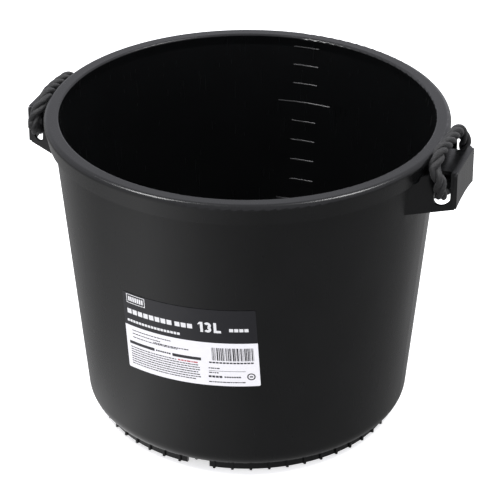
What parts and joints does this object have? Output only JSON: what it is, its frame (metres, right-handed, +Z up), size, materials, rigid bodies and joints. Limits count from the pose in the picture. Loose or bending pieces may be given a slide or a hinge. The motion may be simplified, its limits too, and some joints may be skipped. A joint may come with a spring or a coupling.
{
  "type": "florist bucket",
  "caption": "Tapered black plastic bucket with a rolled lip, a foot ring, litre marks inside and a rope loop handle in an ear on each side.",
  "frame": {"origin": "centre of the foot circle, on the plane that the bucket stands on", "axes": "+Z up out of the mouth, +X towards one ear (right), -Y towards the label"},
  "size_m": [0.345, 0.31, 0.2527],
  "materials": {
    "body_plastic": "satin, moulded",
    "label_film": "printed film, satin",
    "rope_fibre": "twisted synthetic fibre, slight sheen",
    "sleeve_plastic": "matte"
  },
  "bodies": {
    "bucket": {"bucket_body": "body_plastic", "label": "label_film"},
    "right_sleeve": {"right_rope_sleeve": "sleeve_plastic"},
    "right_loop": {"right_rope": "rope_fibre"},
    "left_sleeve": {"left_rope_sleeve": "sleeve_plastic"},
    "left_loop": {"left_rope": "rope_fibre"}
  },
  "joints": [
    {"name": "right_rope_lift", "type": "slide", "parent": "bucket", "child": "right_sleeve", "axis": [0, 0, 1], "range_m": [0, 0.0055]},
    {"name": "right_rope_swing", "type": "hinge", "parent": "right_sleeve", "child": "right_loop", "pos_m": [0.1625, 0, 0.22], "axis": [0, 1, 0], "range_deg": [0, 104]},
    {"name": "left_rope_lift", "type": "slide", "parent": "bucket", "child": "left_sleeve", "axis": [0, 0, 1], "range_m": [0, 0.0055]},
    {"name": "left_rope_swing", "type": "hinge", "parent": "left_sleeve", "child": "left_loop", "pos_m": [-0.1625, 0, 0.22], "axis": [0, -1, 0], "range_deg": [0, 104]}
  ]
}
